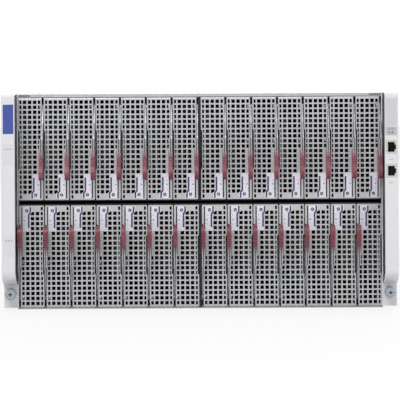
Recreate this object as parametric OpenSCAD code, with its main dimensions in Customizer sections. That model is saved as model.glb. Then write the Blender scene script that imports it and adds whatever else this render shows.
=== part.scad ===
// Six-unit blade server enclosure: 28 half-height blades in two rows of 14,
// each with its own ejector lever, and hot-swap modules at the rear.
// Millimetres. +Z up, front faces -Y, origin at the bottom centre of the whole.

/* [Enclosure] */
// Width of the body that passes between the rack posts
body_w = 448.8; // [446:0.2:451]
// Width of a rack flange beside the body
ear_w = 16.9; // [15.5:0.1:18]
// Height of the body
body_h = 264; // [262:0.5:266]
// Depth from the blade faces to the rear panels
body_d = 857; // [840:1:900]
// Sheet thickness of the enclosure
sheet = 1.2; // [1:0.1:1.5]
// Height of the front lip of the top cover
lip_h = 3.6; // [3:0.1:5]
// Height of the shelf between the two rows
shelf_h = 6; // [5:0.1:8]
// How far the shelf and the centre post stand behind the blade faces
shelf_back = 5; // [2:0.5:10]
// Thickness of the centre post
post_w = 2.6; // [2:0.1:3]
// Height of the guide ribs under and over each blade
rib_h = 1.7; // [1.2:0.1:1.8]
// Clearance between pieces that seat on each other
seat = 0.05; // [0.03:0.01:0.1]

/* [Blades] */
// Blades side by side in one row
columns = 14; // [14:1:14]
// Depth of a blade from its face to its rear wall
blade_d = 570; // [540:5:580]
// Gap between a blade and its neighbours at each side
side_gap = 0.3; // [0.3:0.05:0.4]
// Gap between a blade and the floor or roof of its bay
slide_gap = 0.4; // [0.3:0.05:0.6]
// Sheet thickness of a blade's case
case_t = 1; // [0.8:0.1:1.2]
// Chamfer along the four long edges of a blade
edge_cut = 2.4; // [2.2:0.1:2.6]

/* [Grille] */
// Side of a square vent hole
hole = 4.3; // [4:0.1:4.5]
// Distance between vent hole centres
hole_pitch = 6.13; // [6:0.01:6.3]
// Outer end of the blade to the first row of holes
first_row = 5.6; // [5:0.1:6]
// Plain side of the blade to the second column of holes
second_column = 8; // [7.8:0.1:8.2]
// Thickness of the face sheet
face_t = 1.2; // [1:0.1:1.5]
// Plain border left at the face's long edges
border = 1.5; // [1.2:0.1:1.7]

/* [Control panel] */
// Start of the panel, from the outer end of the blade
panel_v = 93.9; // [93.7:0.1:95]
// Thickness of the panel above the face
panel_t = 0.6; // [0.4:0.1:0.8]
// Diameter of the power button
button_d = 3.7; // [3:0.1:4.2]
// How far the power button stands above the panel
button_out = 0.6; // [0.4:0.1:0.8]

/* [Lever] */
// Width of the lever pocket beside the face
pocket_w = 2.3; // [2:0.1:2.4]
// Depth of the lever pocket
pocket_d = 34; // [30:1:40]
// Sheet thickness of the lever
lever_t = 1.4; // [1:0.1:1.4]
// Width over both sides of the folded lever
lever_w = 3.8; // [3.6:0.1:4]
// Diameter of the pivot pin
pivot_d = 4; // [3:0.1:5]
// Clearance round the pivot pin
pivot_gap = 0.1; // [0.05:0.01:0.15]
// Pivot to the outer end of the blade
pivot_v = 11.6; // [11:0.1:13]
// Pivot behind the blade face
pivot_y = 13; // [12:0.5:16]
// Rivet in the pocket's wall, from the outer end of the blade
rivet_v = 54.5; // [50:0.5:58]
// Diameter of that rivet
rivet_d = 2.4; // [2:0.1:3]
// Start of the grip, from the outer end of the blade
grip_v = 65; // [62:0.5:70]
// Length of the grip
grip_l = 36; // [32:0.5:38]
// Width of the grip
grip_w = 5.1; // [4.8:0.1:5.4]
// How far the grip stands in front of the blade face
grip_out = 29; // [27:0.5:32]

/* [Rack ears] */
// How far the ear mouldings stand in front of the blade faces
ear_out = 36; // [34:1:45]
// Wall thickness of an ear moulding
ear_wall = 2; // [1.6:0.1:2.5]
// Lower end of the ear moulding's front, above the bottom
ear_low = 43; // [38:0.5:48]
// Thickness of the rack bracket
bracket_t = 2; // [1.5:0.1:2.5]
// Body's side to the rack screw
screw_x = 8.15; // [7.5:0.05:9]
// Height of the rack screws above the bottom
screw_z = 19.5; // [17:0.5:22]
// Diameter of a thumbscrew's head
knob_d = 13.3; // [12:0.1:13.6]
// Length of a thumbscrew's head
knob_l = 19; // [15:0.5:22]
// Thread diameter of a thumbscrew
thread_d = 5; // [4.8:0.1:6]
// Length of thread behind the bracket
thread_l = 9; // [6:0.5:12]

/* [Rear modules] */
// Power modules side by side in one row
power_columns = 4; // [4:1:4]
// Height of a power module
power_h = 83; // [80:0.5:84]
// Diameter of a power module's fan
fan_d = 74; // [66:1:75]
// Wire thickness of a fan's finger guard
wire_d = 1.6; // [1.2:0.1:2]
// Reach of the module handles behind the rear panels
handle_out = 24; // [20:1:30]
// Width of a management module
manager_w = 52; // [48:1:60]
// Gap between a rear module and its bay
bay_gap = 0.5; // [0.4:0.1:0.8]
// Thickness of the midplane board
board_t = 4; // [3:0.5:5]
// Air space between the midplane and the rear modules
plenum = 17.5; // [14:0.5:60]

/* [Hidden] */
$fn = 48;
ROWS = ["upper", "lower"];

// Places in the enclosure
depth = ear_out + body_d + handle_out;
face_y = ear_out - depth / 2;
rear_y = face_y + body_d;
inner_w = body_w - 2 * sheet;
roof_z = body_h - lip_h;
row_h = (roof_z - sheet - shelf_h) / 2;
shelf_z = sheet + row_h;
pitch = (inner_w - post_w) / columns;
guide_start = 12;
blade_w = pitch - 2 * side_gap;
blade_h = row_h - 2 * slide_gap;

// Midplane: the blades' connectors meet its headers
header_d = 10;
plug_gap = 0.5;
board_y = face_y + blade_d + plug_gap + header_d;
board_back = board_y + board_t;
window_edge = 4.5;
window_gap = 12;
bay_y = board_back + plenum - 5.5;
module_d = rear_y - board_back - plenum;

// Blade outline, measured from its plain side (u) and from its outer end (v)
face_w = blade_w - pocket_w;
pocket_x = face_w - blade_w / 2;
notch_in = 1.6;
notch_v = 40;
notch_l = 49;
keeper_v = 101.5;
keeper_gap = 1.6;
keeper_w = 2.2;
keeper_end = 1.8;
keeper_x = blade_w - 0.7;
panel_x = keeper_x - keeper_w - keeper_gap;
backing_v = grip_v - 2;
corner_r = 1.2;
roll_r = 2.2;

// Lever
lever_x = blade_w / 2 - 0.45 - lever_w;
plate_x = lever_x + lever_w - lever_t;
pin_head = 0.4;
fold_v = 51;
fold_front = -20;
fold_back = -8;
arm_r = 5;
grip_end = grip_v + grip_l - 3;
grip_r = 8;
ridge_pitch = 2.9;
ridge_r = 1.1;

button_at = [21.2 - blade_w / 2, 6.2 - blade_h / 2];

// Boards and parts inside a blade
standoff = 4;
pcb_t = 1.6;
pcb_x = -blade_w / 2 + case_t + standoff + seat;
parts_x = pcb_x + pcb_t + seat;
plug_h = 60;
plug_w = 10;
plug_d = 12;
plug_room = 0.3;
room_x = blade_w / 2 - case_t - parts_x;
standoff_y = [60, blade_d - 40];
standoff_r = 3;
board_front = 24;
board_edge = 7;
sink_y = 215;
sink_side = 78;
sink_l = 90;
sink_base = 4;
fin_t = 1.5;
fins = 4;
memory_y = 380;
memory_size = [18.8, 133, 3.6];
drive_y = 50;
drive_size = [7, 100, 70];

// Ears
ear_top = body_h;
ear_tail = 30;
tab_t = bracket_t / 2;
shank_d = thread_d + 1;
shank_gap = 0.2;
port_z = [198, 169];
port_w = 11.9;
port_h = 8.3;
port_shell = 2.3;
port_d = 16;
port_margin = 10;

// Rear modules
power_w = (inner_w - (power_columns - 1) * sheet) / power_columns - 2 * bay_gap;
low_shelf_z = sheet + power_h + 2 * bay_gap;
high_shelf_z = body_h - sheet - power_h - 2 * bay_gap - sheet;
switch_h = (high_shelf_z - low_shelf_z - 2 * sheet) / 2 - 2 * bay_gap;
mid_shelf_z = low_shelf_z + sheet + switch_h + 2 * bay_gap;
switch_w = (inner_w - manager_w - 2 * bay_gap - 2 * sheet) / 2 - 2 * bay_gap;
switch_x = (manager_w + switch_w) / 2 + 2 * bay_gap + sheet;
cap_d = 24;
fan_side = 80;
fan_x = (fan_side - power_w) / 2;
fan_z = power_h / 2;
inlet_x = fan_side / 2;
inlet_z = 18;
inlet_size = [27, 22];
inlet_hole = [23, 16.5];
inlet_d = 16;
cage_size = [22, 13];
cage_hole = [18.4, 9.4];
jack_size = [port_w + 3, port_h + 4];
rear_plug_h = 24;
weld = 0.3;
rotor_hub = 16;
rotor_chord = 22;
rotor_t = 1.6;
mate_y = board_back + plug_gap - rear_y;

function slot_x(i) =
    (i + 0.5 - columns / 2) * pitch + (i < columns / 2 ? -1 : 1) * post_w / 2;
function row_z(row) = row == 0 ? roof_z - row_h / 2 : sheet + row_h / 2;
function blade_name(row, i) = str("blade_", ROWS[row], "_", i < 9 ? "0" : "", i + 1);
function lever_name(row, i) = str("lever_", ROWS[row], "_", i < 9 ? "0" : "", i + 1);

blades = [for (row = [0, 1], i = [0 : columns - 1]) blade_name(row, i)];
levers = [for (row = [0, 1], i = [0 : columns - 1]) lever_name(row, i)];

// ---------- shared shapes ----------

// A box from its lowest and highest corners
module box(low, high) {
    translate(low) cube(high - low);
}

// A rectangle with round corners, from its lowest and highest corners
module round_rect(low, high, r) {
    translate([low[0] + r, low[1]]) square([high[0] - low[0] - 2 * r, high[1] - low[1]]);
    translate([low[0], low[1] + r]) square([high[0] - low[0], high[1] - low[1] - 2 * r]);
    for (x = [low[0] + r, high[0] - r], y = [low[1] + r, high[1] - r])
        translate([x, y]) circle(r);
}

// A rectangle with its four corners cut at 45 degrees
module cut_rect(w, h, cut) {
    x = w / 2;
    z = h / 2;
    polygon([
        [-x + cut, -z], [x - cut, -z], [x, -z + cut], [x, z - cut],
        [x - cut, z], [-x + cut, z], [-x, z - cut], [-x, -z + cut]
    ]);
}

// Two discs joined by their outer tangents
module slug(a, ra, b, rb) {
    d = norm(b - a);
    along = atan2(b[1] - a[1], b[0] - a[0]);
    spread = acos((ra - rb) / d);
    function rim(c, r, t) = c + r * [cos(t), sin(t)];
    translate(a) circle(ra);
    translate(b) circle(rb);
    polygon([
        rim(a, ra, along + spread), rim(b, rb, along + spread),
        rim(b, rb, along - spread), rim(a, ra, along - spread)
    ]);
}

// Draws a front-view outline (x, z) as a plate from y0 back to y1
module plate(y0, y1) {
    translate([0, y1, 0]) rotate([90, 0, 0]) linear_extrude(y1 - y0) children();
}

// Draws a side-view outline (y, z) as a plate from x0 to x1
module side_plate(x0, x1) {
    translate([x0, 0, 0]) rotate([90, 0, 90]) linear_extrude(x1 - x0) children();
}

// Puts a blade or lever into its bay; the lower row is the same part turned round
module in_bay(row, i) {
    translate([slot_x(i), face_y, row_z(row)]) rotate([0, row * 180, 0]) children();
}

// ---------- blade ----------

// Front-view position from the plain side and the outer end of a blade
function uv(u, v) = [u - blade_w / 2, blade_h / 2 - v];

module uv_square(u0, u1, v0, v1) {
    translate([u0 - blade_w / 2, blade_h / 2 - v1]) square([u1 - u0, v1 - v0]);
}

// The finger notch in the plain side, which clears the next blade's lever
module notch_2d(grow) {
    x = -blade_w / 2;
    in = notch_in + grow;
    polygon([
        [x - 1, blade_h / 2 - notch_v + grow + 1], [x + in, blade_h / 2 - notch_v + grow - in],
        [x + in, blade_h / 2 - notch_v - notch_l - grow + in],
        [x - 1, blade_h / 2 - notch_v - notch_l - grow - 1]
    ]);
}

// Outline of the folded face, with the keeper strip below the lever
module face_2d(inset) {
    difference() {
        union() {
            round_rect(
                [inset - blade_w / 2, inset - blade_h / 2],
                [pocket_x - inset, blade_h / 2 - inset], corner_r - inset / 2
            );
            round_rect(
                [inset, inset - blade_h / 2],
                [keeper_x - blade_w / 2 - inset, blade_h / 2 - keeper_v - inset], corner_r - inset / 2
            );
        }
        notch_2d(inset);
        uv_square(panel_x - inset, panel_x + keeper_gap + inset, keeper_v - 1, blade_h - keeper_end + inset);
        uv_square(panel_x - inset, pocket_w + face_w, keeper_v - 12, keeper_v + inset);
    }
}

// Rows and columns of square holes, left out behind the grip and the panel
module holes_2d() {
    rows = floor((blade_h - border - hole / 2 - first_row) / hole_pitch);
    for (r = [0 : rows], c = [0 : 4]) {
        v = first_row + r * hole_pitch;
        u = second_column + (c - 1) * hole_pitch;
        v_end = v + hole / 2;
        in_notch = v_end > notch_v && v - hole / 2 < notch_v + notch_l;
        start = max(u - hole / 2, border + (c == 0 && in_notch ? notch_in / 2 : 0));
        stop = min(u + hole / 2, face_w - border);
        open = c < 3 ? v_end < blade_h - 2 * border - hole || c == 0
            : c == 3 ? v_end < panel_v : v_end < backing_v;
        if (open)
            difference() {
                uv_square(start, stop, v - hole / 2, v_end);
                if (c == 2 && v_end + hole_pitch > blade_h - 2 * border - hole)
                    translate(uv(stop, v_end)) circle(hole / 2, $fn = 4);
            }
    }
}

// Perforated face, its edge rolled over at the outer end, screwed on the tray
module bezel() {
    z = blade_h / 2;
    color("lightgrey") difference() {
        plate(0, face_t) difference() {
            face_2d(0);
            holes_2d();
        }
        difference() {
            box([-blade_w, -1, z - roll_r], [blade_w, roll_r, z + 1]);
            translate([-blade_w, roll_r, z - roll_r]) rotate([0, 90, 0])
                cylinder(h = 2 * blade_w, r = roll_r);
        }
    }
}

// Sheet-metal tray of the blade, stepped in for the lever pocket and the notch
module tray() {
    wall = case_t;
    inner_cut = edge_cut - wall * (2 - sqrt(2));
    z = blade_h / 2;
    front = face_t + seat;
    color("gainsboro") difference() {
        union() {
            difference() {
                plate(front, blade_d) cut_rect(blade_w, blade_h, edge_cut);
                plate(front - 1, blade_d - wall)
                    cut_rect(blade_w - 2 * wall, blade_h - 2 * wall, inner_cut);
            }
            box([pocket_x - wall, front, -z + wall / 2], [pocket_x, pocket_d, z - wall / 2]);
            plate(pocket_d, pocket_d + wall) intersection() {
                cut_rect(blade_w, blade_h, edge_cut);
                translate([pocket_x - wall, -z]) square([blade_w, 2 * z]);
            }
            plate(front, pocket_d + wall) intersection() {
                notch_2d(wall);
                square([blade_w, blade_h], center = true);
            }
            for (y = standoff_y, side = [-1, 1])
                translate([-blade_w / 2 + wall / 2, y, side * (z - 2 * board_edge)]) rotate([0, 90, 0])
                    cylinder(h = standoff + wall / 2, r = standoff_r);
        }
        // lever pocket, open to the front and to the side
        box([pocket_x, front - 1, -z - 1], [blade_w, pocket_d, z + 1]);
        // finger notch
        plate(front - 1, pocket_d) notch_2d(0);
        // side that the cover closes
        box([blade_w / 2 - wall, pocket_d + wall, -z + edge_cut], [blade_w, blade_d - wall, z - edge_cut]);
        // holes for the pivot pin and the rivet
        translate([pocket_x - wall - 1, pivot_y, z - pivot_v]) rotate([0, 90, 0])
            cylinder(h = wall + 2, r = pivot_d / 2 + seat);
        translate([pocket_x - wall - 1, pivot_y, z - rivet_v]) rotate([0, 90, 0])
            cylinder(h = wall + 2, r = rivet_d / 2 + seat);
        // window for the rear connector
        box([parts_x - plug_room, blade_d - wall - 1, -plug_h / 2 - plug_room],
            [parts_x + plug_w + plug_room, blade_d + 1, plug_h / 2 + plug_room]);
    }
}

// Flat cover that closes the tray
module cover() {
    z = blade_h / 2 - edge_cut - seat;
    color("silver")
        box([blade_w / 2 - case_t + seat, pocket_d + case_t + seat, -z],
            [blade_w / 2, blade_d - case_t - seat, z]);
}

// Pin that the lever turns on, held by a collar inside and a riveted head outside
module pivot_pin() {
    inside = pocket_x - case_t - seat;
    outside = plate_x + lever_t + pivot_gap;
    color("whitesmoke") translate([0, pivot_y, blade_h / 2 - pivot_v]) rotate([0, 90, 0]) {
        translate([0, 0, inside - 2]) cylinder(h = 2, r = pivot_d / 2 + 1);
        translate([0, 0, inside - 1]) cylinder(h = outside + 1 - inside, r = pivot_d / 2);
        translate([0, 0, outside]) cylinder(h = pin_head, r = pivot_d / 2 + 1.5);
    }
}

// Rivet in the wall of the lever pocket, its head inside the blade
module stop_rivet() {
    inside = pocket_x - case_t - seat;
    color("whitesmoke") translate([0, pivot_y, blade_h / 2 - rivet_v]) rotate([0, 90, 0]) {
        translate([0, 0, inside - 2]) cylinder(h = 2, r = rivet_d / 2 + 0.8);
        translate([0, 0, inside - 1]) cylinder(h = case_t + seat + 1, r = rivet_d / 2);
    }
}

// Outline of the control panel
module panel_2d() {
    end = blade_h - border;
    polygon([
        uv(17.1, panel_v), uv(panel_x - 0.4, panel_v), uv(panel_x - 0.4, end), uv(14.6, end),
        uv(14.6, end - 6.6), uv(17.1, end - 9.1)
    ]);
}

module control_panel() {
    color("lavender") difference() {
        plate(-panel_t - seat, -seat) panel_2d();
        plate(-panel_t - 1, 1) translate(button_at) circle(button_d / 2 + 0.1);
    }
}

module power_button() {
    front = -panel_t - seat - button_out;
    color("dimgrey") difference() {
        plate(front, -seat) translate(button_at) circle(button_d / 2);
        plate(front - 1, front + 0.3) translate(button_at) circle(button_d / 5);
    }
}

// Main board of a blade, on four standoffs
module main_board() {
    color("darkgreen")
        box([pcb_x, board_front, -blade_h / 2 + board_edge],
            [pcb_x + pcb_t, blade_d - case_t - 1, blade_h / 2 - board_edge]);
}

// Finned heat sink on the processor
module heat_sink() {
    step = (sink_side - fin_t) / (fins - 1);
    color("silver") translate([parts_x, 0, -sink_side / 2]) plate(sink_y, sink_y + sink_l) {
        square([sink_base, sink_side]);
        for (k = [0 : fins - 1])
            translate([0, k * step]) square([room_x - fin_t, fin_t]);
    }
}

// Memory module in its socket
module memory() {
    color("green") translate([parts_x, memory_y, -memory_size[2] / 2]) cube(memory_size);
}

// Solid-state drive
module drive() {
    color("dimgrey") translate([parts_x, drive_y, -drive_size[2] / 2]) cube(drive_size);
}

// Connector that plugs into the midplane
module blade_plug() {
    color("black")
        box([parts_x, blade_d - plug_d, -plug_h / 2], [parts_x + plug_w, blade_d, plug_h / 2]);
}

module blade() {
    bezel();
    tray();
    cover();
    pivot_pin();
    stop_rivet();
    control_panel();
    power_button();
    main_board();
    heat_sink();
    memory();
    drive();
    blade_plug();
}

// ---------- ejector lever ----------

// Side view of the lever plate, from its pivot down to the grip
module arm_2d() {
    z = blade_h / 2;
    pivot = [pivot_y, z - pivot_v];
    knee = [1, z - 34];
    bend = [-12, z - fold_v + 1];
    slug(pivot, arm_r, knee, arm_r - 1);
    slug(knee, arm_r - 1, bend, arm_r - 1);
    slug(bend, arm_r - 1, [-14, z - grip_v], arm_r + 1);
}

// Lever plate, folded to a channel where the grip sits on it
module lever_arm() {
    z = blade_h / 2;
    color("silver") difference() {
        union() {
            side_plate(plate_x, lever_x + lever_w) arm_2d();
            difference() {
                box([lever_x, fold_front, z - grip_end], [lever_x + lever_w, fold_back, z - fold_v]);
                box([lever_x + lever_t, fold_front - 1, z - grip_end - 1],
                    [plate_x, fold_back - lever_t, z - fold_v + 1]);
            }
        }
        translate([plate_x - 1, pivot_y, z - pivot_v]) rotate([0, 90, 0])
            cylinder(h = lever_t + 2, r = pivot_d / 2 + pivot_gap);
    }
}

// Side view of the grip: straight back, front sloping out to a finger hook, with ridges
module grip_2d() {
    top = [-14.5, blade_h / 2 - grip_v - grip_r];
    hook = [grip_r - grip_out, blade_h / 2 - grip_v - grip_l + grip_r];
    heel = [-14.5, hook[1]];
    slope = (hook - top) / norm(hook - top);
    out = [-slope[1], slope[0]] * (top[0] > hook[0] ? -1 : 1);
    difference() {
        union() {
            slug(top, grip_r, hook, grip_r);
            slug(top, grip_r, heel, grip_r);
            slug(heel, grip_r, hook, grip_r);
        }
        for (k = [0 : 4])
            translate(top + slope * (2 + k * ridge_pitch) + out * (grip_r + ridge_r / 2)) circle(ridge_r);
    }
}

// Moulded grip, slid over the folded lever from below; its top is slotted into three prongs
module grip() {
    z = blade_h / 2;
    mid = lever_x + lever_w / 2;
    color([0.52, 0.25, 0.3]) difference() {
        side_plate(mid - grip_w / 2, mid + grip_w / 2) grip_2d();
        for (x = [lever_x, plate_x]) {
            box([x - seat, fold_front - seat, z - grip_end - seat], [x + lever_t + seat, fold_back, z]);
            box([x - seat, -grip_out, z - grip_v - 9], [x + lever_t + seat, fold_back, z]);
        }
        box([lever_x - seat, fold_back - lever_t - seat, z - grip_end - seat],
            [lever_x + lever_w + seat, fold_back + seat, z]);
    }
}

module lever() {
    lever_arm();
    grip();
}

// ---------- enclosure ----------

// Guide ribs between neighbouring blades, on a floor at height zero
module ribs_2d() {
    base = side_gap + edge_cut + slide_gap - 0.3 * sqrt(2);
    edges = concat(
        [for (i = [0 : columns - 1]) slot_x(i) - pitch / 2],
        [for (i = [0 : columns - 1]) slot_x(i) + pitch / 2]
    );
    difference() {
        intersection() {
            for (x = edges)
                translate([x, 0]) polygon([
                    [-base, -sheet / 2], [-base, 0], [rib_h - base, rib_h],
                    [base - rib_h, rib_h], [base, 0], [base, -sheet / 2]
                ]);
            translate([-inner_w / 2 + seat, -sheet]) square([inner_w - 2 * seat, sheet + rib_h]);
        }
        translate([-post_w / 2 - seat, 0]) square([post_w + 2 * seat, rib_h + 1]);
    }
}

module floor_sheet() {
    x = inner_w / 2 - seat;
    color("gainsboro") {
        box([-x, face_y + sheet, 0], [x, rear_y, sheet]);
        plate(face_y + guide_start, board_y - header_d) translate([0, sheet]) ribs_2d();
    }
}

module side_sheet(side) {
    color("gainsboro") translate([side * (body_w / 2 - sheet / 2), 0, 0])
        box([-sheet / 2, face_y + tab_t + seat, 0], [sheet / 2, rear_y, body_h - sheet - seat]);
}

module top_cover() {
    color("gainsboro")
        box([-body_w / 2, face_y, body_h - sheet], [body_w / 2, rear_y, body_h]);
}

// Roof of the upper row: guide sheet with its front edge folded up to the cover
module roof_guide() {
    front = face_y + 0.3;
    x = inner_w / 2 - seat;
    color("gainsboro") difference() {
        union() {
            box([-x, front, roof_z], [x, board_y - header_d, roof_z + sheet]);
            box([-x, front, roof_z], [x, front + sheet, body_h - sheet - seat]);
            plate(face_y + guide_start, board_y - header_d)
                translate([0, roof_z]) mirror([0, 1]) ribs_2d();
        }
        for (side = [-1, 1])
            translate([side * (inner_w / 2 - 8), front, body_h - 1.5 * sheet])
                cube([14, 4 * sheet, sheet], center = true);
    }
}

// Hollow shelf between the rows, with guide ribs over and under it
module row_shelf() {
    w = inner_w - 2 * seat;
    color("dimgrey") {
        plate(face_y + shelf_back, board_y - header_d) difference() {
            translate([-w / 2, shelf_z]) square([w, shelf_h]);
            translate([-w / 2 + sheet, shelf_z + sheet]) square([w - 2 * sheet, shelf_h - 2 * sheet]);
        }
        plate(face_y + guide_start, board_y - header_d) {
            translate([0, shelf_z + shelf_h]) ribs_2d();
            translate([0, shelf_z]) mirror([0, 1]) ribs_2d();
        }
    }
}

module centre_posts() {
    front = face_y + shelf_back;
    back = board_y - header_d;
    color("dimgrey") {
        box([-post_w / 2, front, sheet + seat], [post_w / 2, back, shelf_z - seat]);
        box([-post_w / 2, front, shelf_z + shelf_h + seat], [post_w / 2, back, roof_z - seat]);
    }
}

// Midplane board with air windows, and a header for each blade
module midplane() {
    x = inner_w / 2 - seat;
    low = plug_h / 2 + window_edge;
    high = row_h / 2 - window_edge;
    color("darkgreen") difference() {
        box([-x, board_y, sheet + seat], [x, board_back, body_h - sheet - seat]);
        for (row = [0, 1], i = [0 : 2 : columns - 1])
            translate([(slot_x(i) + slot_x(i + 1)) / 2, board_y, row_z(row)])
                rotate([0, row * 180, 0]) translate([0, 0, (low + high) / 2])
                    cube([2 * pitch - window_gap, 4 * board_t, high - low], center = true);
    }
    color("black")
        for (row = [0, 1], i = [0 : columns - 1])
            in_bay(row, i)
                box([parts_x, blade_d + plug_gap, -plug_h / 2],
                    [parts_x + plug_w, board_y - face_y - seat, plug_h / 2]);
}

// Shelves and partitions of the rear bays
module rear_bays() {
    x = inner_w / 2 - seat;
    back = rear_y - 1;
    step = power_w + 2 * bay_gap + sheet;
    color("silver") {
        for (z = [low_shelf_z, mid_shelf_z, high_shelf_z])
            box([-x, bay_y, z], [x, back, z + sheet]);
        for (i = [1 : power_columns - 1]) {
            wall = i * step - inner_w / 2 - sheet;
            box([wall, bay_y, sheet + seat], [wall + sheet, back, low_shelf_z - seat]);
            box([wall, bay_y, high_shelf_z + sheet + seat], [wall + sheet, back, body_h - sheet - seat]);
        }
        for (side = [-1, 1]) {
            wall = side * (manager_w / 2 + bay_gap + sheet / 2);
            for (z = [[low_shelf_z, mid_shelf_z], [mid_shelf_z, high_shelf_z]])
                box([wall - sheet / 2, bay_y, z[0] + sheet + seat], [wall + sheet / 2, back, z[1] - seat]);
        }
    }
}

module enclosure() {
    floor_sheet();
    side_sheet(-1);
    side_sheet(1);
    top_cover();
    roof_guide();
    row_shelf();
    centre_posts();
    midplane();
    rear_bays();
}

// ---------- rack ears ----------

// Side view of an ear moulding, less an inset all round; its back is open
module ear_2d(inset) {
    low = ear_low + 6;
    slug([-ear_out + 12, low], 12 - inset, [-3, ear_tail + 3], 3 - inset);
    translate([-ear_out + inset, low]) square([ear_out - inset + (inset > 0 ? 1 : 0), ear_top - 4 - low]);
    translate([-ear_out + 4, low]) square([ear_out - 4 + (inset > 0 ? 1 : 0), ear_top - inset - low]);
    translate([-ear_out + 4, ear_top - 4]) circle(4 - inset);
    translate([-3, ear_tail + inset]) square([3 + (inset > 0 ? 1 : 0), low - ear_tail - inset]);
    translate([-ear_out + 12, ear_low]) square([ear_out - 13, 12]);
}

// Front-edge rounding of an ear moulding, seen from above
module ear_plan(inset, w) {
    round_rect([inset, -ear_out + inset], [w - inset, ear_out], 2.2 - inset / 2);
}

// Hollow ear moulding; the right one has windows for its two ports
module ear_shell(ports) {
    color("gainsboro") translate([0, -seat, 0]) difference() {
        intersection() {
            side_plate(seat, ear_w) ear_2d(0);
            linear_extrude(body_h) ear_plan(0, ear_w);
        }
        intersection() {
            side_plate(ear_wall, ear_w - ear_wall) ear_2d(ear_wall);
            linear_extrude(body_h) ear_plan(ear_wall, ear_w);
        }
        if (ports)
            for (z = port_z)
                port_block(z, [-ear_out - 1, ear_wall + 1 - ear_out], port_shell);
    }
}

// The space that a port fills at a height, from y[0] to y[1], grown all round
module port_block(z, y, grow) {
    box([(ear_w - port_h) / 2 - grow, y[0], z - port_w / 2 - grow],
        [(ear_w + port_h) / 2 + grow, y[1], z + port_w / 2 + grow]);
}

// Rack bracket: the flange that the thumbscrew holds to the rack post
module bracket() {
    color("lightgrey") difference() {
        union() {
            box([seat, 0, 2], [ear_w, bracket_t, body_h]);
            box([-sheet, 0, 2], [1, tab_t, body_h - sheet - seat]);
        }
        translate([screw_x, bracket_t + 1, screw_z]) rotate([90, 0, 0])
            cylinder(h = bracket_t + 2, r = shank_d / 2 + shank_gap);
    }
}

// Captive thumbscrew with a cross recess and a gripping groove; its shank turns in the bracket
module thumbscrew() {
    shank_l = bracket_t + 2 * seat;
    color("silver") translate([screw_x, -seat, screw_z]) rotate([90, 0, 0]) difference() {
        union() {
            cylinder(h = knob_l - 1, r = knob_d / 2);
            translate([0, 0, knob_l - 1]) cylinder(h = 1, r1 = knob_d / 2, r2 = knob_d / 2 - 1);
            translate([0, 0, -shank_l]) cylinder(h = shank_l + 1, r = shank_d / 2);
            translate([0, 0, -shank_l - thread_l]) cylinder(h = thread_l + 1, r = thread_d / 2);
        }
        translate([0, 0, knob_l - 0.8]) difference() {
            cylinder(h = 2, r = knob_d / 2 - 2);
            cylinder(h = 2, r = knob_d / 2 - 2.7);
        }
        for (turn = [0, 90])
            rotate(turn) translate([-2.6, -0.6, knob_l - 2]) cube([5.2, 1.2, 3]);
        translate([0, 0, 4]) difference() {
            cylinder(h = 1.2, r = knob_d);
            cylinder(h = 1.2, r = knob_d / 2 - 0.6);
        }
    }
}

// Shielded network port, turned on its side with its latch outwards
module ear_port(z) {
    front = 0.4 - ear_out;
    color("silver") difference() {
        port_block(z, [front, front + port_d], port_shell - 0.1);
        port_block(z, [front - 1, front + port_d - 2], 0);
        box([ear_w / 2, front - 1, z - 3], [(ear_w + port_h) / 2 + 1.6, front + port_d - 2, z + 3]);
    }
}

// Board that carries the ports and lamps inside the right ear
module ear_board() {
    front = 0.4 - ear_out + port_d + seat;
    reach = port_w / 2 + port_shell + port_margin;
    color("darkgreen")
        box([ear_wall + 0.3, front, port_z[1] - reach],
            [ear_w - ear_wall - 0.3, front + pcb_t, port_z[0] + reach]);
}

module front_ears() {
    translate([body_w / 2, face_y, 0]) {
        ear_shell(true);
        bracket();
        thumbscrew();
        for (z = port_z)
            ear_port(z);
        ear_board();
    }
    translate([-body_w / 2, face_y, 0]) mirror([1, 0, 0]) {
        ear_shell(false);
        bracket();
        thumbscrew();
    }
}

// ---------- rear modules ----------

// Each module is drawn with its rear panel's outer face at y = 0 and its floor at z = 0.

// A block centred on x and z, from y[0] back to y[1]
module block(at, size, y) {
    box([at[0] - size[0] / 2, y[0], at[1] - size[1] / 2], [at[0] + size[0] / 2, y[1], at[1] + size[1] / 2]);
}

// Closed housing behind the rear panel, with a pocket for one socket
module housing(w, d, h, at, size) {
    color("silver") difference() {
        box([-w / 2, -d, 0], [w / 2, -sheet - seat, h]);
        block(at, size + [2, 2] * seat, [-cap_d, 1]);
    }
}

// Rear panel with a window for one socket
module rear_panel(w, h, at, size) {
    color("lightgrey") difference() {
        box([-w / 2, -sheet, 0], [w / 2, 0, h]);
        block(at, size + [2, 2] * seat, [-sheet - 1, 1]);
        children();
    }
}

// Socket block with one plain cavity, seated in its pocket
module socket(at, size, hole, deep) {
    difference() {
        block(at, size, [seat - cap_d, 0.6]);
        block(at, hole, [-deep, 1]);
    }
}

// Connector from a module to the midplane
module module_plug(w, d, z) {
    color("black") block([0, z], [w, rear_plug_h], [mate_y, -d - seat]);
}

// Strap handle standing out from a rear panel
module strap(x, z0, z1, w) {
    bar = 4;
    color("dimgrey") side_plate(x - w / 2, x + w / 2) difference() {
        intersection() {
            round_rect([-handle_out, z0], [handle_out, z1], bar + 2);
            translate([seat, z0]) square([handle_out, z1 - z0]);
        }
        round_rect([-handle_out, z0 + bar], [handle_out - bar, z1 - bar], 2);
    }
}

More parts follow.
